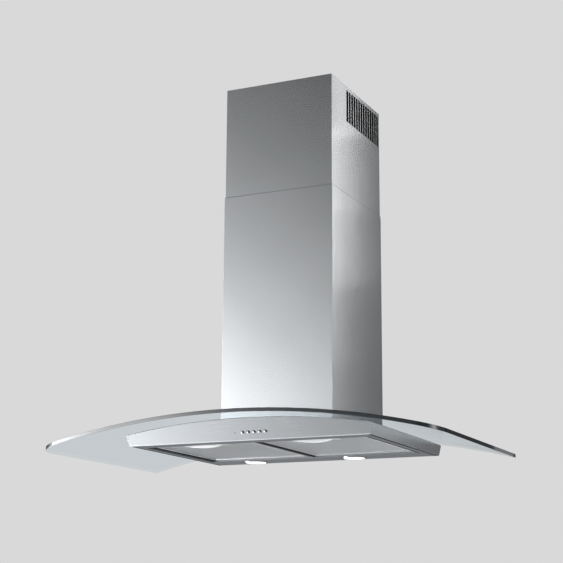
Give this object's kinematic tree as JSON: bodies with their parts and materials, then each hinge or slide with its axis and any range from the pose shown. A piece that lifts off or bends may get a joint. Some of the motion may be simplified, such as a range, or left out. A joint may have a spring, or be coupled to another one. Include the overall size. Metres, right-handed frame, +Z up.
{
  "type": "range hood",
  "caption": "Wall-mounted chimney hood with a curved glass canopy, stainless body, grease filters, lamps, push buttons and a telescopic flue.",
  "frame": {"origin": "middle of the two hanging holes, on the wall plane", "axes": "+Z up, -Y out into the room, +X to the right as seen from the room"},
  "size_m": [0.9, 0.527, 0.8464],
  "materials": {
    "stainless_panel": "fine brushed, clear of coatings",
    "stainless_flue": "fine brushed along its length",
    "stainless_underside": "brushed",
    "canopy_glass": "clear, tempered, polished edges",
    "black_seal": "matt",
    "clear_seal": "translucent",
    "nylon": "natural",
    "zinc_sheet": "zinc plated",
    "zinc_fixing": "zinc plated",
    "filter_frame": "satin",
    "filter_mesh": "expanded mesh, layered",
    "pull": "white, smooth",
    "divider": "black",
    "lamp_bezel": "white enamel",
    "lamp_glass": "frosted",
    "lamp_shell": "bright",
    "lamp_bulb": "frosted",
    "transformer_case": "fine texture",
    "button": "polished, domed",
    "indicator": "translucent red",
    "switch_plastic": "fine texture",
    "circuit_board": "solder mask",
    "impeller_sheet": "plain",
    "shaft_steel": "ground",
    "motor_case": "black enamel",
    "capacitor_case": "plain",
    "black_plastic": "fine texture"
  },
  "bodies": {
    "hood": {"glass_canopy": "canopy_glass", "glass_gasket": "clear_seal", "neck_gasket": "black_seal", "chassis_saddle": "black_seal", "glass_bushes": "nylon", "glass_fixings": "zinc_fixing", "front_panel": "stainless_panel", "left_side_panel": "stainless_panel", "right_side_panel": "stainless_panel", "back_panel": "stainless_panel", "bottom_frame": "stainless_underside", "body_top_plate": "zinc_sheet", "filter_divider": "divider", "wall_bumpers": "black_seal", "lamp_transformer": "transformer_case", "indicator_lens": "indicator", "switch_block": "switch_plastic", "control_board": "circuit_board", "chassis": "zinc_sheet", "chassis_lid": "zinc_sheet", "chassis_front": "zinc_sheet", "scroll_wrap": "zinc_sheet", "scroll_left_plate": "zinc_sheet", "scroll_right_plate": "zinc_sheet", "motor": "motor_case", "motor_bracket": "zinc_sheet", "motor_mounts": "black_seal", "capacitor": "capacitor_case", "terminal_box": "black_plastic", "terminal_cover": "black_plastic", "terminal_block": "nylon", "cable_gland": "black_plastic", "outlet_collar": "black_plastic", "flap_pin": "shaft_steel", "lower_flue": "stainless_flue", "upper_flue_bracket": "zinc_sheet", "left_lamp_housing": "lamp_shell", "left_lamp_ring": "lamp_bezel", "left_lamp_lens": "lamp_glass", "left_lamp_bulb": "lamp_bulb", "right_lamp_housing": "lamp_shell", "right_lamp_ring": "lamp_bezel", "right_lamp_lens": "lamp_glass", "right_lamp_bulb": "lamp_bulb"},
    "upper_flue": {"upper_flue": "stainless_flue"},
    "left_filter": {"left_filter_frame": "filter_frame", "left_filter_mesh": "filter_mesh"},
    "right_filter": {"right_filter_frame": "filter_frame", "right_filter_mesh": "filter_mesh"},
    "left_latch": {"left_filter_latch": "pull"},
    "right_latch": {"right_filter_latch": "pull"},
    "rotor": {"impeller": "impeller_sheet", "motor_shaft": "shaft_steel"},
    "front_flap": {"front_flap": "black_plastic"},
    "rear_flap": {"rear_flap": "black_plastic"},
    "stop_button": {"stop_button": "button"},
    "light_button": {"light_button": "button"},
    "speed_1_button": {"speed_1_button": "button"},
    "speed_2_button": {"speed_2_button": "button"},
    "speed_3_button": {"speed_3_button": "button"}
  },
  "joints": [
    {"name": "upper_flue_slide", "type": "slide", "parent": "hood", "child": "upper_flue", "axis": [0, 0, 1], "range_m": [-0.255, 0.15]},
    {"name": "impeller_spin", "type": "hinge", "parent": "hood", "child": "rotor", "pos_m": [0, -0.108, -0.14], "axis": [1, 0, 0], "continuous": true},
    {"name": "front_flap_swing", "type": "hinge", "parent": "hood", "child": "front_flap", "pos_m": [0, -0.169, 0.0852], "axis": [-1, 0, 0], "range_deg": [0, 75]},
    {"name": "rear_flap_swing", "type": "hinge", "parent": "hood", "child": "rear_flap", "pos_m": [0, -0.169, 0.0852], "axis": [1, 0, 0], "range_deg": [0, 75]},
    {"name": "left_filter_drop", "type": "hinge", "parent": "hood", "child": "left_filter", "pos_m": [0, -0.1005, -0.327], "axis": [1, 0, 0], "range_deg": [0, 75]},
    {"name": "left_latch_slide", "type": "slide", "parent": "left_filter", "child": "left_latch", "axis": [0, 1, 0], "range_m": [0, 0.006], "stiffness_N_per_m": 300, "springref_m": -0.003},
    {"name": "right_filter_drop", "type": "hinge", "parent": "hood", "child": "right_filter", "pos_m": [0, -0.1005, -0.327], "axis": [1, 0, 0], "range_deg": [0, 75]},
    {"name": "right_latch_slide", "type": "slide", "parent": "right_filter", "child": "right_latch", "axis": [0, 1, 0], "range_m": [0, 0.006], "stiffness_N_per_m": 300, "springref_m": -0.003},
    {"name": "stop_button_press", "type": "slide", "parent": "hood", "child": "stop_button", "axis": [0, 0.9397, 0.342], "range_m": [0, 0.002], "stiffness_N_per_m": 400, "springref_m": -0.0005},
    {"name": "light_button_press", "type": "slide", "parent": "hood", "child": "light_button", "axis": [0, 0.9397, 0.342], "range_m": [0, 0.002], "stiffness_N_per_m": 400, "springref_m": -0.0005},
    {"name": "speed_1_button_press", "type": "slide", "parent": "hood", "child": "speed_1_button", "axis": [0, 0.9397, 0.342], "range_m": [0, 0.002], "stiffness_N_per_m": 400, "springref_m": -0.0005},
    {"name": "speed_2_button_press", "type": "slide", "parent": "hood", "child": "speed_2_button", "axis": [0, 0.9397, 0.342], "range_m": [0, 0.002], "stiffness_N_per_m": 400, "springref_m": -0.0005},
    {"name": "speed_3_button_press", "type": "slide", "parent": "hood", "child": "speed_3_button", "axis": [0, 0.9397, 0.342], "range_m": [0, 0.002], "stiffness_N_per_m": 400, "springref_m": -0.0005}
  ]
}
